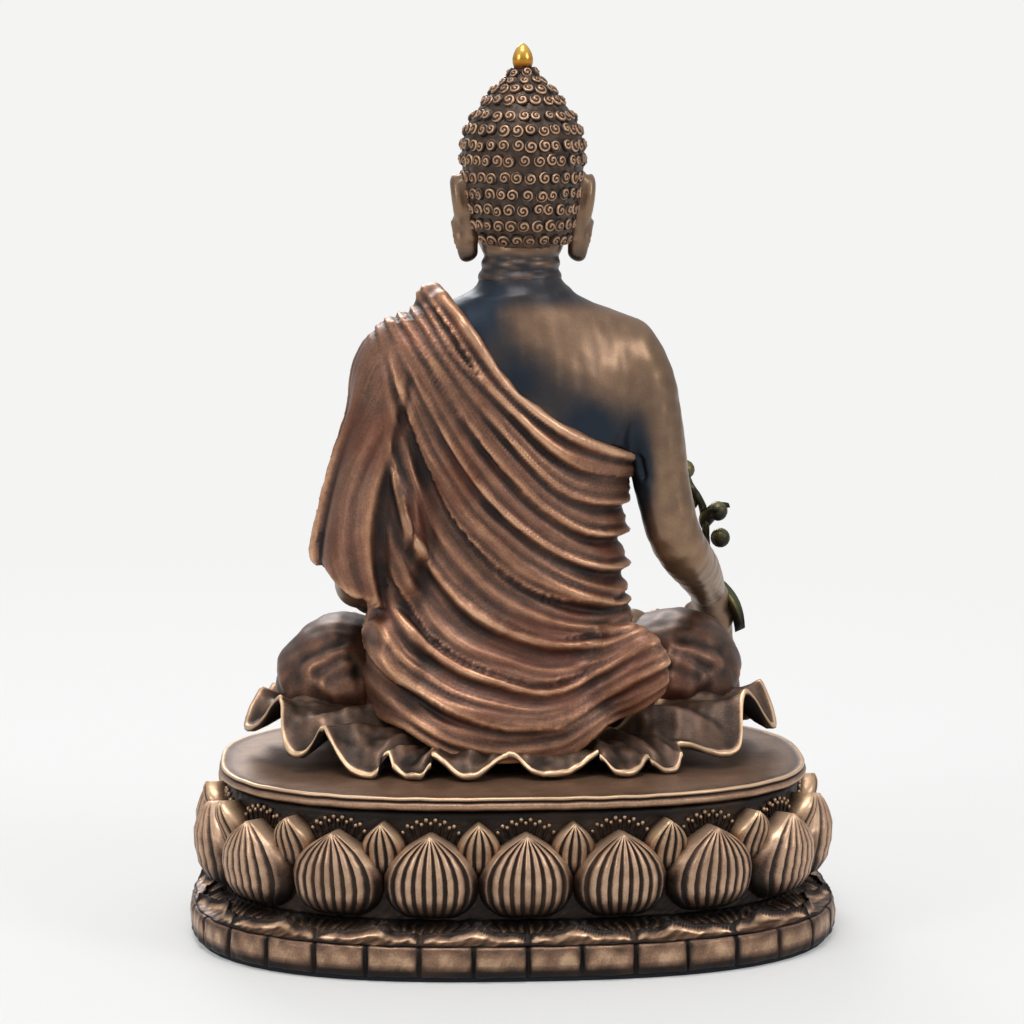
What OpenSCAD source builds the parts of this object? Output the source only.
// Seated buddha statue on an oval lotus base: cast pieces that are pegged and glued together.
// Millimetres. +Z is up, the figure faces -Y, and the origin is the middle of the underside.

/* [Base] */
// Width of the plinth
base_w = 154; // [125:1:190]
// Depth of the plinth, front to back
base_d = 114; // [90:1:130]
// Squareness of the base's outline: 2 is a true ellipse, and more is fuller at the corners
squareness = 2.6; // [2:0.1:3]
// Height of the plinth's course of blocks
plinth_h = 7; // [5:0.5:12]
// Height of the sloping leaf collar
collar_h = 5; // [3:0.5:8]
// Height of the drum behind the petals, from the plinth to the deck
drum_h = 29; // [22:0.5:36]
// How far the drum's wall stands in from the plinth's edge
drum_inset = 9; // [7:0.5:11]
// Thickness of the seat deck
deck_t = 3.8; // [3:0.1:6]
// How far the deck's edge stands out from the drum's wall
deck_lip = 2; // [1:0.1:3]
// Wall of the hollow plinth and drum
base_wall = 5; // [3.5:0.5:7]
// Large petals round the drum, with as many small ones, stamen fans and leaves
petals = 18; // [12:1:24]
// How far a large petal stands out from the drum
petal_out = 6; // [4:0.5:8]
// How far a small petal stands out from the drum
small_petal_out = 2.6; // [1.5:0.1:4]

/* [Underside] */
// Thickness of the felt pad
felt_t = 1.2; // [0.8:0.1:3]
// How far the felt stands in from the plinth's edge
felt_inset = 1.5; // [0.5:0.1:4]
// Thickness of the board that closes the hollow base
board_t = 3; // [2:0.1:4]
// Width of the ledge that the board seats on
board_ledge = 2.5; // [1.5:0.5:4]

/* [Figure] */
// Height of the figure, from the deck to the tip of the crown jewel
figure_h = 169; // [135:1:210]
// Width across the two knees
knee_span = 112; // [92:1:136]
// Half width of the trunk at which each arm is joined on
arm_joint_x = 29.5; // [25:0.5:32]
// Width of the hair cap without its curls
head_w = 29; // [24:0.5:35]
// How far the head is set towards the figure's right shoulder
head_sway = 2.5; // [0:0.5:3]
// Thickness of the robe over the trunk
robe_t = 2.4; // [1.6:0.1:4]
// Thickness of the seat cloth under the knees
cloth_t = 3.4; // [2.4:0.1:5]
// How far the seat cloth spreads past the knees
cloth_spread = 8; // [4:0.5:12]
// Diameter of one hair curl
curl_d = 2.6; // [2:0.1:3.2]
// How far a curl stands out from the hair cap
curl_out = 1.3; // [0.8:0.1:2]
// Rows of curls below the crown jewel
curl_rows = 13; // [8:1:16]

/* [Bowl and sprig] */
// Diameter of the bowl at its rim
bowl_d = 19; // [15:0.5:23]
// Height of the bowl
bowl_h = 10; // [8:0.5:13]
// Wall of the bowl
bowl_wall = 1.2; // [0.8:0.1:2]
// Diameter of the sprig's stem
stem_d = 2.2; // [1.6:0.1:3]
// Diameter of a fruit
fruit_d = 5; // [4:0.1:6.5]

/* [Joints] */
// Gap left for glue between cast faces
glue_gap = 0.15; // [0.05:0.05:0.3]
// Diameter of the steel dowels through the deck
deck_dowel_d = 5; // [4:0.5:7]
// Length of the deck dowels
deck_dowel_l = 18; // [14:1:26]
// Distance between the two deck dowels
deck_dowel_span = 28; // [20:1:34]
// Diameter of the brass dowels in the neck and shoulders
body_dowel_d = 4; // [3:0.5:5]
// Length of the neck dowel and the shoulder dowels
body_dowel_l = 10; // [8:1:12]
// Diameter of the pin on the crown jewel
jewel_pin_d = 2; // [1.5:0.1:3]
// Gap round a dowel in its hole
dowel_gap = 0.1; // [0.05:0.05:0.2]

/* [Hidden] */
$fn = 48;
far = 400;                               // larger than the statue, for cutting tools
tiny = 0.01;
// Levels up the base
plinth_z = felt_t + plinth_h;
collar_z = plinth_z + collar_h;
drum_top = plinth_z + drum_h;
seat_z = drum_top + deck_t;
cloth_z = seat_z + cloth_t;
// Half widths and half depths of the ovals
plinth_a = base_w / 2;
plinth_b = base_d / 2;
drum_a = plinth_a - drum_inset;
drum_b = plinth_b - drum_inset;
oval_sides = 4 * petals;
// Scales of the figure, from the size its stations are written at
written_h = 169;
written_span = 112;
written_head = 29;
up = figure_h / written_h;
out = knee_span / written_span;
hd = head_w / written_head;

// Where a written height and a written plan position come to on this figure
function lift(z) = seat_z + z * up;
function place(p) = [p[0] * out, p[1] * out, lift(p[2])];
function blend(a, b, t) = a + (b - a) * t;

// ---- Ovals ----
function bent(v, power) = sign(v) * pow(abs(v), power);
function oval_point(a, b, angle) = [a * bent(cos(angle), 2 / squareness), b * bent(sin(angle), 2 / squareness)];
function oval_step(a, b, i) = norm(oval_point(a, b, i + 1) - oval_point(a, b, i));
function arc_table(a, b) = [for (i = 0, s = 0; i <= 360; s = s + oval_step(a, b, i), i = i + 1) [s, i]];
// Angle on the oval at a share of the way round, so that equal shares are equal lengths
function even_angle(table, share) = lookup((share - floor(share)) * table[360][0], table);
function oval(a, b, n) = let (t = arc_table(a, b)) [for (i = [0 : n - 1]) oval_point(a, b, even_angle(t, i / n))];
function oval_normal(a, b, angle) = let (power = 2 - 2 / squareness)
    unit([bent(cos(angle), power) / a, bent(sin(angle), power) / b]);

// ---- Solids from rings of points ----
// A closed solid through rings of equal length, each listed anticlockwise from above, lowest first
module skin(rings) {
    n = len(rings[0]);
    m = len(rings);
    flat_points = [for (r = rings) for (p = r) p];
    ends = [mean(rings[0]), mean(rings[m - 1])];
    low = n * m;
    high = low + 1;
    walls = [for (j = [0 : m - 2]) for (i = [0 : n - 1]) let (k = (i + 1) % n)
        each [[j * n + i, (j + 1) * n + i, j * n + k], [j * n + k, (j + 1) * n + i, (j + 1) * n + k]]];
    caps = [for (i = [0 : n - 1]) let (k = (i + 1) % n)
        each [[low, i, k], [high, (m - 1) * n + k, (m - 1) * n + i]]];
    polyhedron(concat(flat_points, ends), concat(walls, caps), convexity = 8);
}
function mean(pts) = [for (c = [0 : 2]) [for (p = pts) p[c]] * [for (p = pts) 1] / len(pts)];
// A level ring: centre, half width, half depth and height
function ring(c, a, b, z, n) = [for (i = [0 : n - 1]) [c[0] + a * cos(360 * i / n), c[1] + b * sin(360 * i / n), z]];

// A round limb along a path of points, with a radius at each; its path never runs along the seam axis
module limb(path, radii, n = 14, seam = [0, 0, 1]) {
    m = len(path);
    skin([for (j = [0 : m - 1]) let (
            f = unit(path[min(j + 1, m - 1)] - path[max(j - 1, 0)]),
            s = unit(cross(seam, f)),
            t = cross(f, s))
        [for (i = [0 : n - 1]) path[j] + radii[j] * (s * cos(360 * i / n) + t * sin(360 * i / n))]]);
}
function unit(v) = v / norm(v);
// Everything on the near side of a limb's far end
module before_end(path, gap) {
    m = len(path);
    f = unit(path[m - 1] - path[m - 2]);
    translate(path[m - 1]) rotate([0, acos(f[2]), atan2(f[1], f[0])])
        translate([-12, -12, gap - 24]) cube(24);
}

// A patch that wraps the drum: across is -1 to 1, height is 0 to 1, outward thickness is never nothing
module wall_patch(middle, half_w, height, z0, thick, table, cols, rows) {
    total = table[360][0];
    function at(c, r, off) = let (
            u = -1 + 2 * c / cols,
            v = r / rows,
            angle = even_angle(table, middle + u * half_w * petal_width(v) / total),
            p = oval_point(drum_a, drum_b, angle) + off * oval_normal(drum_a, drum_b, angle))
        [p[0], p[1], z0 + v * height];
    nc = cols + 1;
    count = nc * (rows + 1);
    back = [for (r = [0 : rows]) for (c = [0 : cols]) at(c, r, glue_gap)];
    front = [for (r = [0 : rows]) for (c = [0 : cols]) at(c, r,
        glue_gap + 0.3 + thick * sin(180 * c / cols) * petal_swell(r / rows))];
    faces_of = [for (r = [0 : rows - 1]) for (c = [0 : cols - 1]) let (k = r * nc + c)
        each [[k, k + 1, k + nc], [k + 1, k + nc + 1, k + nc]]];
    rim = concat([for (c = [0 : cols - 1]) c], [for (r = [0 : rows - 1]) r * nc + cols],
        [for (c = [cols : -1 : 1]) rows * nc + c], [for (r = [rows : -1 : 1]) r * nc]);
    sides = [for (i = [0 : len(rim) - 1]) let (a = rim[i], b = rim[(i + 1) % len(rim)])
        each [[a, count + a, b], [b, count + a, count + b]]];
    polyhedron(concat(back, front), concat(faces_of,
        [for (f = faces_of) [f[2] + count, f[1] + count, f[0] + count]], sides), convexity = 4);
}
// A petal's share of its full width and of its full swell, up its height
function petal_width(v) = lookup(v, [[0, 0.55], [0.3, 1], [0.55, 0.9], [0.8, 0.5], [1, 0.06]]);
function petal_swell(v) = lookup(v, [[0, 0.35], [0.3, 1], [0.6, 0.85], [1, 0.12]]);

// ---- Base ----
module oval_plate(a, b, z0, z1) translate([0, 0, z0]) linear_extrude(z1 - z0) polygon(oval(a, b, oval_sides));

module felt_pad() color("#20242b")
    oval_plate(plinth_a - felt_inset, plinth_b - felt_inset, 0, felt_t);

board_in = base_wall - board_ledge;      // from the plinth's outer face in to the board's edge
module closing_board() color("#6b5136")
    oval_plate(plinth_a - board_in - glue_gap, plinth_b - board_in - glue_gap, felt_t, felt_t + board_t);

// Block course: a groove at every joint between two blocks, and two blocks to each petal
blocks = 2 * petals;
groove_deep = 0.6;
groove_share = 0.05;                     // of one block's length
module plinth() color("#5a4334") difference() {
    t = arc_table(plinth_a, plinth_b);
    outline = [for (k = [0 : blocks - 1]) for (s = [-groove_share, 0, groove_share, 0.5])
        let (w = even_angle(t, ((k + s) % blocks + blocks) % blocks / blocks),
            deep = s == 0 ? groove_deep : 0)
        oval_point(plinth_a, plinth_b, w) - deep * oval_normal(plinth_a, plinth_b, w)];
    translate([0, 0, felt_t]) linear_extrude(plinth_h) polygon(outline);
    oval_plate(plinth_a - base_wall, plinth_b - base_wall, 0, far);
    oval_plate(plinth_a - board_in, plinth_b - board_in, 0, felt_t + board_t);
    oval_plate(drum_a + glue_gap, drum_b + glue_gap, plinth_z - seat_rebate, far);
}
seat_rebate = 1.5;                       // depth of the step that centres the drum on the plinth

// A ring that slopes from the plinth's edge in to the drum, its foot scalloped into leaf tips
collar_foot_in = 1;
collar_lip = 1.2;
module leaf_collar() {
    per_leaf = 6;
    n = petals * per_leaf;
    outer = arc_table(plinth_a, plinth_b);
    function foot(i, z, inset) = let (
            w = even_angle(outer, i / n),
            dip = 1.4 * abs(sin(180 * (i + per_leaf / 2) / per_leaf)) * (z - plinth_z < collar_lip + tiny ? 1 : 0),
            p = oval_point(plinth_a, plinth_b, w) - (inset + dip) * oval_normal(plinth_a, plinth_b, w))
        [p[0], p[1], z];
    function wall(i, z) = let (w = even_angle(outer, i / n))
        concat(oval_point(drum_a + 2 * glue_gap, drum_b + 2 * glue_gap, w), z);
    loops = [[for (i = [0 : n - 1]) wall(i, plinth_z + glue_gap)],
        [for (i = [0 : n - 1]) foot(i, plinth_z + glue_gap, collar_foot_in)],
        [for (i = [0 : n - 1]) foot(i, plinth_z + collar_lip, collar_foot_in)],
        [for (i = [0 : n - 1]) wall(i, collar_z)]];
    m = len(loops);
    color("#4a382c") polyhedron([for (l = loops) for (p = l) p],
        [for (j = [0 : m - 1]) for (i = [0 : n - 1]) let (k = (i + 1) % n, q = (j + 1) % m)
            each [[j * n + i, q * n + i, j * n + k], [j * n + k, q * n + i, q * n + k]]], convexity = 8);
}

module lotus_drum() color("#3d2f26") difference() {
    oval_plate(drum_a, drum_b, plinth_z - seat_rebate + glue_gap, drum_top);
    oval_plate(drum_a - base_wall, drum_b - base_wall, 0, drum_top - drum_roof);
    deck_dowel_holes();
}
drum_roof = 5;                           // closes the drum and holds the dowels

// Petals stand on the collar; small petals and stamen fans fill the wall between and above them
petal_foot = collar_z + glue_gap;
petal_h = drum_h * 0.66;
module large_petals() color("#8a6148") {
    t = arc_table(drum_a, drum_b);
    for (k = [0 : petals - 1])
        wall_patch((k + 0.5) / petals, 0.47 * t[360][0] / petals, petal_h, petal_foot, petal_out, t, 5, 5);
}
deck_rim_room = 1.5;                     // bare wall left under the deck's rim
small_petal_foot = petal_foot + petal_h * 0.62;
small_petal_h = drum_top - deck_rim_room - small_petal_foot;
module small_petals() color("#6d4f3d") {
    t = arc_table(drum_a, drum_b);
    for (k = [0 : petals - 1])
        wall_patch(k / petals, 0.2 * t[360][0] / petals, small_petal_h, small_petal_foot, small_petal_out, t, 2, 3);
}
// A fan of stamens above each large petal's tip
fan_foot = petal_foot + petal_h + 0.4;
module stamen_fans() color("#55402f") {
    t = arc_table(drum_a, drum_b);
    total = t[360][0];
    top = drum_top - deck_rim_room;
    for (k = [0 : petals - 1]) {
        w = even_angle(t, (k + 0.5) / petals);
        v = oval_normal(drum_a, drum_b, w);
        c = oval_point(drum_a, drum_b, w) + (glue_gap + 0.5) * v;
        half = 0.26 * total / petals;
        translate([c[0], c[1], fan_foot]) rotate([90, 0, atan2(v[1], v[0]) + 90])
            translate([0, 0, -0.3]) linear_extrude(1.2)
                polygon([[-half * 0.5, 0], [half * 0.5, 0], [half, top - fan_foot - 1.2],
                    [0, top - fan_foot], [-half, top - fan_foot - 1.2]]);
    }
}

// Deck: a plate with stepped beads round its rim, centred on the drum by the two dowels
deck_step = 1;
module seat_deck() color("#5f4636") difference() {
    union() {
        oval_plate(drum_a + deck_lip - deck_step, drum_b + deck_lip - deck_step, drum_top + glue_gap,
            seat_z - deck_t * 0.55);
        oval_plate(drum_a + deck_lip, drum_b + deck_lip, drum_top + deck_t * 0.3, seat_z - deck_t * 0.3);
        oval_plate(drum_a + deck_lip - deck_step, drum_b + deck_lip - deck_step, seat_z - deck_t * 0.5, seat_z);
    }
    deck_dowel_holes();
}

deck_dowel_z = drum_top - drum_roof;
module at_deck_dowels() for (x = [-1, 1]) translate([x * deck_dowel_span / 2, 0, 0]) children();
module deck_dowel_holes() at_deck_dowels()
    translate([0, 0, deck_dowel_z - 1]) cylinder(d = deck_dowel_d + 2 * dowel_gap, h = deck_dowel_l + 2);
module deck_dowels() color("silver") at_deck_dowels()
    translate([0, 0, deck_dowel_z]) cylinder(d = deck_dowel_d, h = deck_dowel_l);

// ---- Seat cloth: a flat sheet under the knees whose free edge lifts and falls in folds ----
cloth_folds = 14;
cloth_middle = [0, -5];
cloth_a = knee_span / 2 + cloth_spread;
cloth_b = 39 * out;
module seat_cloth() {
    n = cloth_folds * 8;
    function edge(share, z, wave) = [for (i = [0 : n - 1]) let (
            w = 360 * i / n,
            s = share + wave * (0.035 * cos(cloth_folds * w)))
        [cloth_middle[0] + cloth_a * s * cos(w), cloth_middle[1] + cloth_b * s * sin(w),
            z + wave * 1.3 * (1 + cos(cloth_folds * w + 90))]];
    color("#5d4639") difference() {
        skin([edge(0.9, seat_z + glue_gap, 0), edge(0.97, seat_z + cloth_t * 0.35, 0.4),
            edge(0.965, cloth_z + 0.6, 1), edge(0.9, cloth_z, 0)]);
        deck_dowel_holes();
    }
}

// ---- Trunk, robe and border ----
// Stations up the trunk: height above the deck, half width, half depth and middle of the depth
body_stations = [[3.8, 34, 24, 3], [11, 33.5, 25, 3], [19, 31.5, 23.5, 2], [29, 29, 21, 1], [39, 27.2, 19, 1],
    [49, 26, 18.3, 1], [59, 26.8, 18.3, 1.5], [69, 28.8, 18.8, 1.5], [79, 31.5, 19, 2], [89, 34, 18, 2.5],
    [96, 33.5, 16, 3], [102, 28, 13.5, 3.5], [107, 19.5, 11.5, 3.5], [110.5, 12, 10.2, 3]];
body_sides = 28;
trunk_foot = (cloth_z + glue_gap - seat_z) / up;
module body_form(inset) {
    top = len(body_stations) - 1;
    skin([for (s = body_stations) let (z = s[0] == body_stations[0][0] ? trunk_foot : s[0])
        ring([0, s[3] * out], s[1] * out - inset, s[2] * out - inset, lift(z), body_sides)]);
}
// The robe's upper edge lies in a plane from the left side of the neck down to the right armpit
border_high = [21, 0, 111];
border_low = [-29, 0, 66];
border_fall = atan2((border_high[2] - border_low[2]) * up, (border_high[0] - border_low[0]) * out);
module above_border(gap) translate(place(border_low)) rotate([0, -border_fall, 0])
    translate([-far / 2, -far / 2, gap]) cube(far);
// The arms are joined on at two upright planes, above the level where the robe flares
arm_joint_z = 36;
module arm_sides(gap) for (side = [0, 1]) mirror([side, 0, 0])
    translate([arm_joint_x * out - gap, -far / 2, lift(arm_joint_z)]) cube(far);

module trunk() color("#a98f78") difference() {
    union() {
        body_form(robe_t + glue_gap);
        intersection() {
            body_form(0);
            above_border(glue_gap);
        }
    }
    arm_sides(0);
    deck_dowel_holes();
    neck_dowel_hole();
    shoulder_dowel_holes();
}

module upper_robe() color("#7d4f3a") difference() {
    body_form(0);
    body_form_inside();
    above_border(0);
    arm_sides(0);
}
module body_form_inside() {
    skin([for (s = body_stations) let (first = s[0] == body_stations[0][0])
        ring([0, s[3] * out], s[1] * out - robe_t, s[2] * out - robe_t,
            lift(first ? trunk_foot - 1 : s[0]), body_sides)]);
}

// A rolled border lies on the body all along the robe's upper edge
border_d = 3.4;
border_lift = 1.2;                       // above the robe's edge, so that the roll hides it
body_tables = [for (c = [1 : 3]) [for (s = body_stations) [s[0], s[c]]]];
function border_miss(z, w) = z - border_lift - border_low[2]
    - (lookup(z, body_tables[0]) * cos(w) - border_low[0]) * tan(border_fall) * out / up;
function border_level(w, a, b, n = 24) = let (m = (a + b) / 2)
    n == 0 ? m : border_miss(m, w) > 0 ? border_level(w, a, m, n - 1) : border_level(w, m, b, n - 1);
function border_point(w) = let (
        z = border_level(w, 58, 113),
        a = lookup(z, body_tables[0]) * out,
        b = lookup(z, body_tables[1]) * out)
    concat([0, lookup(z, body_tables[2]) * out] + [a * cos(w), b * sin(w)]
        + 0.3 * unit([cos(w) / a, sin(w) / b]), lift(z));
module robe_border() color("#8c5a41") difference() {
    turns = [-160 : 12.8 : 160.1];
    limb([for (w = turns) border_point(w)], [for (w = turns) border_d / 2], 8,
        [-sin(border_fall), 0, cos(border_fall)]);
    body_form(-glue_gap);
    arm_sides(glue_gap);
}

// ---- Left arm: a bell sleeve with the forearm coming forward out of its mouth ----
sleeve_stations = [[38, 38, 10, 15.5, 0], [46, 38.5, 10, 15, 0.5], [60, 36.6, 9.6, 13, 1.5], [72, 34.4, 9, 12, 2.2],
    [84, 31, 8.4, 11.6, 2.6], [93, 28.5, 8, 11.4, 3], [99, 26, 7.4, 10, 3.2], [104, 24, 6, 7.5, 3.2]];
sleeve_sides = 20;
sleeve_wall = 1.6;
sleeve_mouth = 14;                       // how far the mouth is hollow, up from the hem
sleeve_hem = [50.5, 50];                 // where the hem's rising edge meets the sleeve's outer side
module sleeve_form(inset) skin([for (s = sleeve_stations)
    ring([s[1] * out, s[4] * out], s[2] * out - inset, s[3] * out - inset, lift(s[0]), sleeve_sides)]);
sleeve_ceiling = lift(38) + sleeve_mouth;
module left_sleeve() color("#7d4f3a") difference() {
    sleeve_form(0);
    translate([arm_joint_x * out + glue_gap - far, -far / 2, -far / 2]) cube(far);
    translate([sleeve_hem[0] * out, 0, lift(sleeve_hem[1])]) rotate([0, -52, 0])
        translate([-far / 2, -far / 2, -far]) cube(far);
    let (s = sleeve_stations[0]) skin([for (z = [-12, sleeve_mouth])
        ring([(s[1] + 0.8) * out, s[4] * out], s[2] * out - sleeve_wall - 0.8, s[3] * out - sleeve_wall - (z > 0 ? 1.6 : 0),
            lift(38) + z, sleeve_sides)]);
    limb(left_arm_path, [for (r = left_arm_r) r + glue_gap], 14, [1, 0, 0]);
    shoulder_dowel_holes();
}
left_arm_path = [for (p = [[39, 4, 54], [38, 2, 46], [36.5, -3, 41], [33, -11, 37.8], [27, -19, 36], [21, -23, 35]]) place(p)];
left_arm_r = [for (r = [4.6, 4.9, 5, 4.8, 4.3, 3.8]) r * out];
module left_forearm() color("#a98f78") difference() {
    limb(left_arm_path, left_arm_r, 14, [1, 0, 0]);
    translate([0, 0, far / 2 + sleeve_ceiling - glue_gap]) cube(far, center = true);
}

// ---- Legs, folded with each foot on the other thigh ----
// Stations out along a leg: distance from the middle, middle of the depth, middle height, half depth, half height
leg_stations = [[0, -27, 11.2, 13, 7.8], [10, -26, 12, 14.5, 8.4], [20, -23, 13.2, 17, 9.6], [30, -18.5, 14.8, 19.5, 11],
    [38, -15, 16, 20, 12], [45, -13.8, 16.2, 17.5, 11.6], [51, -13.5, 15.8, 12.5, 9.2], [54.5, -13.5, 15.2, 7.5, 6],
    [56, -13.5, 14.8, 3, 2.6]];
leg_sides = 22;
module leg_form(side, grow) skin([for (j = [0 : 8]) let (s = leg_stations[side > 0 ? j : 8 - j])
    [for (i = [0 : leg_sides - 1]) let (w = 360 * i / leg_sides)
        [side * (s[0] * out + (s[0] == 0 ? -grow : grow)), s[1] * out + (s[3] * out + grow) * cos(w),
            lift(s[2]) + (s[4] * up + grow) * sin(w)]]]);
module leg(side) difference() {
    leg_form(side, 0);
    body_form_clear();
    translate([-far / 2, -far / 2, cloth_z + glue_gap - far]) cube(far);
    translate([side > 0 ? glue_gap / 2 - far : -glue_gap / 2, -far / 2, -far / 2]) cube(far);
}
module body_form_clear() {
    skin([for (s = body_stations) if (s[0] < 45) let (first = s[0] == body_stations[0][0])
        ring([0, s[3] * out], s[1] * out + glue_gap, s[2] * out + glue_gap,
            lift(first ? trunk_foot - 2 : s[0]), body_sides)]);
}
module left_leg() color("#6a4a39") leg(1);
module right_leg() color("#6a4a39") leg(-1);

// Soles turned up on the opposite thighs
foot_stations = [[0, 2.2, 1.8], [0.15, 3.4, 2.4], [0.5, 3.6, 2.4], [0.8, 4.4, 2.2], [1, 3.2, 1.5]];
module foot(heel, toe, side) difference() {
    a = place(heel);
    d = place(toe) - a;
    translate(a) rotate([0, acos(d[2] / norm(d)), atan2(d[1], d[0])])
        skin([for (s = foot_stations) [for (i = [0 : 11])
            [s[2] * out * cos(30 * i), s[1] * out * sin(30 * i), s[0] * norm(d)]]]);
    leg_form(side, glue_gap);
    body_form_clear();
}
module left_foot() color("#a98f78") foot([-11, -28, 24], [-38.5, -18, 31.8], -1);
module right_foot() color("#a98f78") foot([11, -28, 24], [38.5, -18, 31.8], 1);

// ---- Hands: a palm with four fingers and a thumb ----
finger_r = 1.35;
module hand(palm, fingers, thumb, seam) {
    limb([for (p = palm) place(p)], [for (r = [3.2, 4.3, 4.4, 3.6]) r * out], 12, seam);
    for (f = fingers) limb([for (p = f) place(p)], [for (p = f) finger_r * out], 8, seam);
    limb([for (p = thumb) place(p)], [for (p = thumb) (finger_r + 0.15) * out], 8, seam);
}
// The left hand lies palm up in the lap, under the bowl
left_palm = [[22, -22.5, 35], [16, -24.5, 34.4], [11, -26.2, 34], [7.5, -27.2, 33.8]];
module left_hand() color("#a98f78") difference() {
    hand(left_palm,
        [for (k = [0 : 3]) [[9, -23.6 - 2.3 * k, 33.8], [1, -24.2 - 2.3 * k, 33.4], [-5 + k, -23.8 - 2.3 * k, 34.2]]],
        [[15, -22.5, 35.5], [11, -20, 37.2], [7, -19.5, 38.4]], [0, 0, 1]);
    translate(bowl_foot - [0, 0, glue_gap]) cylinder(r = bowl_d / 2 + 1, h = far);
    before_end(left_arm_path, glue_gap);
}

// ---- Right arm: bare, down to a hand that rests over the knee ----
right_arm_path = [for (p = [[-22, 3, 101], [-27.5, 3, 96.5], [-31, 3, 90], [-34.2, 3.3, 78], [-37, 4, 66], [-39.6, 4.6, 55],
    [-42, 1.5, 49], [-45.5, -8, 43.5], [-48.5, -18, 38.5], [-50, -24, 35.5]]) place(p)];
right_arm_r = [for (r = [5.5, 7.8, 8.4, 7.7, 7.1, 6.9, 6.6, 5.8, 4.8, 4.2]) r * out];
module right_arm() color("#a98f78") difference() {
    limb(right_arm_path, right_arm_r, 16, [0.2, -0.7, 0.7]);
    translate([-arm_joint_x * out - glue_gap, -far / 2, -far / 2]) cube(far);
    shoulder_dowel_holes();
}
// The right hand hangs over the knee, its fingers down and the sprig's stem between finger and palm
right_palm = [[-49.8, -23.2, 36], [-51.2, -28.6, 32.6], [-52, -31.4, 28.4], [-52.4, -32.6, 24]];
module right_hand() color("#a98f78") difference() {
    hand(right_palm,
        [for (k = [0 : 3]) [[-56 + 2.4 * k, -32.2, 25.5], [-56.6 + 2.6 * k, -33.6, 19.5], [-56 + 2.5 * k, -33, 14.5]]],
        [[-49.5, -29, 31], [-46.8, -33, 29.5], [-47, -36, 27]], [1, 0, 0]);
    before_end(right_arm_path, glue_gap);
    leg_form(-1, glue_gap);
    stem_hole();
}

shoulder_z = 90;
module shoulder_dowel(extra) for (x = [-1, 1])
    translate([x * arm_joint_x * out, 3 * out, lift(shoulder_z)]) rotate([0, 90, 0])
        cylinder(d = body_dowel_d + 2 * extra, h = body_dowel_l + 10 * extra, center = true);
module shoulder_dowel_holes() shoulder_dowel(dowel_gap);
module shoulder_dowels() color("goldenrod") shoulder_dowel(0);

// ---- Head: face and neck, hair cap, curls, ears and jewel ----
// Stations of the head: height, half width, half depth, middle of the depth
head_stations = [[111, 10.6, 10, 2.4], [116, 9.4, 9.2, 1.5], [119, 9.6, 9.4, 0.6], [121, 10.3, 12.5, -2.6],
    [126, 11.8, 15, -2.4], [132, 12.8, 15.8, -1.8], [139, 13.3, 16, -1.4], [146, 13.4, 15.6, -1]];
hair_stations = [[121, 10, 9.5, 1], [125, 12, 13.5, -1], [132, 13.4, 16.2, -1.4], [140, 14.4, 17, -1],
    [146, 14.2, 16.4, -0.8], [150.5, 12.8, 14.6, -0.4], [154.5, 10, 11.4, 0], [158.5, 6.8, 7.8, 0.2],
    [161, 4, 4.4, 0.3], [162.5, 3, 3, 0.3]];
head_sides = 26;
module head_form(stations, inset) skin([for (s = stations)
    ring([-head_sway, s[3] * hd], s[1] * hd - inset, s[2] * hd - inset, lift(s[0]), head_sides)]);
// The hairline is a plane from the forehead down to the nape
hairline = [0, 11, 121.5];
hairline_fall = 44;
module behind_hairline(gap) translate([0, hairline[1] * hd, lift(hairline[2])]) rotate([-hairline_fall, 0, 0])
    translate([-far / 2, -far / 2, gap]) cube(far);
module head() color("#a98f78") difference() {
    head_form(head_stations, 0);
    behind_hairline(-glue_gap);
    neck_dowel_hole();
}
module hair_cap() color("#54463d") difference() {
    intersection() {
        head_form(hair_stations, 0);
        behind_hairline(0);
    }
    translate([-head_sway, hair_stations[9][3] * hd, lift(162.5) - jewel_pin_l])
        cylinder(d = jewel_pin_d + 2 * dowel_gap, h = far);
}
neck_dowel_z = 111;
module neck_dowel_body(extra) translate([-head_sway, 2.5 * out, lift(neck_dowel_z)])
    cylinder(d = body_dowel_d + 2 * extra, h = body_dowel_l + 10 * extra, center = true);
module neck_dowel_hole() neck_dowel_body(dowel_gap);
module neck_dowel() color("goldenrod") neck_dowel_body(0);

// Long ears hang beside the jaw, glued to the head and the hair behind
ear_stations = [[117.5, 0.7, 1.4], [120, 1.7, 2.1], [126, 1.8, 2.2], [132, 2.4, 3.4], [136, 2.2, 3.2], [138, 0.9, 1.6]];
ear_out = 15.1;
ear_y = -1;
module ear(side) difference() {
    skin([for (s = ear_stations) ring([side * ear_out * hd - head_sway, ear_y], s[1] * hd, s[2] * hd, lift(s[0]), 12)]);
    head_form(hair_stations, -glue_gap);
    head_form(head_stations, -glue_gap);
}
module left_ear() color("#a98f78") ear(1);
module right_ear() color("#a98f78") ear(-1);

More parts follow.
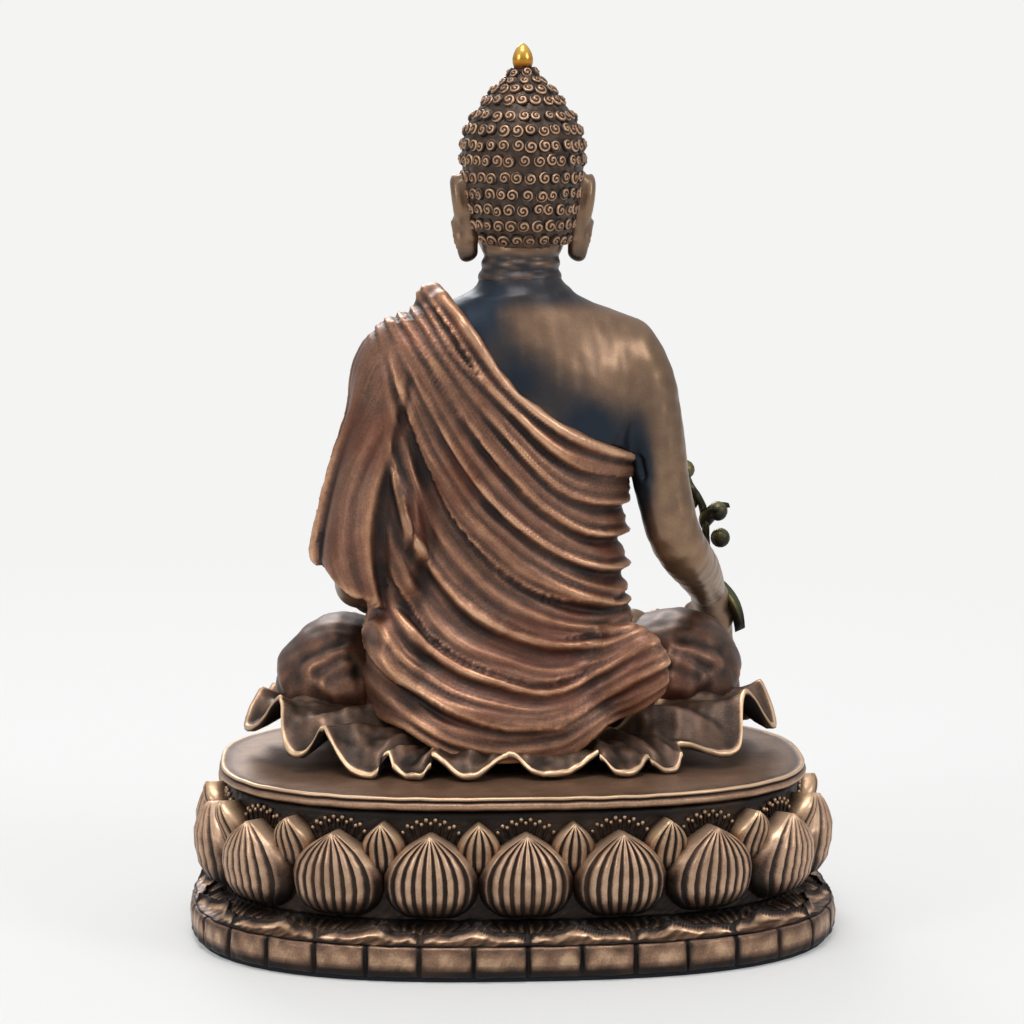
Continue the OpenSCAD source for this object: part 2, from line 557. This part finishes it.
// Curls stand in rows on the hair cap, square to it
hair_table = [for (c = [1 : 3]) [for (s = hair_stations) [s[0], s[c]]]];
function hair_point(z, w) = [lookup(z, hair_table[0]) * hd * cos(w) - head_sway,
    lookup(z, hair_table[2]) * hd + lookup(z, hair_table[1]) * hd * sin(w), lift(z)];
module hair_curls() color("#8f755f") {
    low = 123;
    high = 161;
    for (j = [0 : curl_rows - 1]) {
        z = blend(low, high, j / (curl_rows - 1));
        r = lookup(z, hair_table[0]) * hd;
        n = max(6, round(2 * PI * r / (curl_d * 1.3)));
        for (i = [0 : n - 1]) {
            w = 360 * (i + (j % 2) / 2) / n;
            p = hair_point(z, w);
            along = hair_point(z, w + 1) - hair_point(z, w - 1);
            rising = hair_point(z + 0.5, w) - hair_point(z - 0.5, w);
            f = cross(along, rising) / norm(cross(along, rising));
            line_z = lift(hairline[2]) + (hairline[1] * hd - p[1]) * tan(hairline_fall);
            near_ear = abs(p[1] - ear_y) < 5.5 * hd && p[2] < lift(138) + curl_d;
            if (p[2] > line_z + curl_d && !near_ear) translate(p + f * (glue_gap + 0.25))
                rotate([0, acos(f[2]), atan2(f[1], f[0])]) cylinder(d = curl_d, h = curl_out, $fn = 16);
        }
    }
}

// Jewel: a bud on a pin that seats in the crown
jewel_d = 4.8;
jewel_pin_l = 4;
module crown_jewel() color("#c98f2c") translate([-head_sway, hair_stations[9][3] * hd, lift(162.5) + glue_gap]) {
    rotate_extrude() polygon(concat([[0, 0]],
        [for (t = [0 : 0.1 : 1]) [jewel_d / 2 * sqrt(max(sin(180 * pow(t * 0.93 + 0.07, 0.8)), 0)) , t * (lift(169) - lift(162.5) - glue_gap)]],
        [[0, lift(169) - lift(162.5) - glue_gap]]));
    translate([0, 0, -jewel_pin_l]) cylinder(d = jewel_pin_d, h = jewel_pin_l + 1);
}

// ---- Bowl of fruit in the left hand ----
bowl_foot = [2 * out, -28 * out, lift(36)];
bowl_foot_d = bowl_d * 0.45;
small_fruit_d = fruit_d * 0.9;
heap_z = bowl_h - fruit_d * 0.35;        // middles of the fruit, above the bowl's foot
bowl_floor = heap_z - small_fruit_d / 2 - glue_gap;
module bowl() color("#8a7058") translate(bowl_foot) rotate_extrude() polygon(concat(
    [[0, 0], [bowl_foot_d / 2, 0]],
    [for (t = [15 : 15 : 90]) [bowl_foot_d / 2 + (bowl_d - bowl_foot_d) / 2 * sin(t), 0.8 + (bowl_h - 0.8) * (1 - cos(t))]],
    [[bowl_d / 2 - bowl_wall, bowl_h], [bowl_d / 2 - bowl_wall - 0.8, bowl_floor], [0, bowl_floor]]));
// A domed heap of seven fruits fills the bowl to its brim
module bowl_fruit() color("#4d4a33") translate(bowl_foot + [0, 0, heap_z]) {
    for (k = [0 : 5]) rotate([0, 0, 60 * k]) translate([small_fruit_d * 1.03, 0, 0]) sphere(d = small_fruit_d);
    translate([0, 0, fruit_d * 0.3]) sphere(d = small_fruit_d);
}

// ---- Sprig in the right hand: stem, leaves and fruit ----
stem_path = [[-49.5, -37, 22], [-49.8, -33.5, 34], [-50, -29, 46], [-48.6, -25.6, 56], [-44.5, -23.4, 63]];
module stem_hole() limb([for (p = stem_path) place(p)], [for (p = stem_path) stem_d / 2 + dowel_gap], 8, [1, 0, 0]);
function stem_r(k) = (stem_d / 2) * (1 - 0.1 * k);
module sprig_stem() color("#4a4130")
    limb([for (p = stem_path) place(p)], [for (k = [0 : 4]) stem_r(k)], 8, [1, 0, 0]);
function stem_at(z) = [for (c = [0 : 1]) lookup(z, [for (p = stem_path) [p[2], p[c]]]) * out];
// A leaf or fruit grows from the stem at a written height, in a direction given in the statue's axes
function on_stem(z, aim, reach) = concat(stem_at(z), lift(z)) + (stem_d / 2 + reach) * unit(aim);
leaf_t = 0.9;
module leaf(z, aim, long, half_w, roll) {
    f = unit(aim);
    translate(on_stem(z, aim, 0.1)) rotate([0, acos(f[2]), atan2(f[1], f[0])]) rotate([0, 0, roll])
        skin([for (s = [[0, 0.25], [0.25, 0.8], [0.5, 1], [0.75, 0.75], [1, 0.12]])
            [for (i = [0 : 7]) [leaf_t / 2 * cos(45 * i) + 0.8 * s[1], half_w * s[1] * sin(45 * i), s[0] * long]]]);
}
module sprig_leaves() color("#4f5236") difference() {
    union() {
        leaf(42, [-6, 6, -4], 10, 4.6, 60);
        leaf(50, [-3, 4, 9], 11, 3.4, 20);
        leaf(45, [10, 5, -1], 11, 3.4, 70);
        leaf(59, [9, 5, 2], 8, 3, 80);
        leaf(61, [-6, 4, 8], 9, 3, 10);
    }
    stem_hole();
    fruit_set(glue_gap);
    limb([for (p = right_palm) place(p)], [for (r = [3.2, 4.3, 4.4, 3.6]) r * out + glue_gap], 12, [1, 0, 0]);
}
module fruit_set(extra) {
    for (g = [[55, [-6, 2, 0]], [48, [-5, 4, -1]], [57, [5, -4, 2]]])
        translate(on_stem(g[0], g[1], fruit_d / 2 + 0.1)) sphere(d = fruit_d + 2 * extra);
    translate(place(stem_path[4]) + (fruit_d / 2 + 0.1) * unit([2.4, 2, 9])) sphere(d = fruit_d + 2 * extra);
}
module sprig_fruit() color("#5c6636") fruit_set(0);

felt_pad();
closing_board();
plinth();
leaf_collar();
lotus_drum();
large_petals();
small_petals();
stamen_fans();
seat_deck();
deck_dowels();
seat_cloth();
trunk();
upper_robe();
robe_border();
left_sleeve();
left_leg();
right_leg();
left_foot();
right_foot();
left_forearm();
left_hand();
right_arm();
right_hand();
shoulder_dowels();
neck_dowel();
head();
left_ear();
right_ear();
hair_cap();
hair_curls();
crown_jewel();
bowl();
bowl_fruit();
sprig_stem();
sprig_leaves();
sprig_fruit();
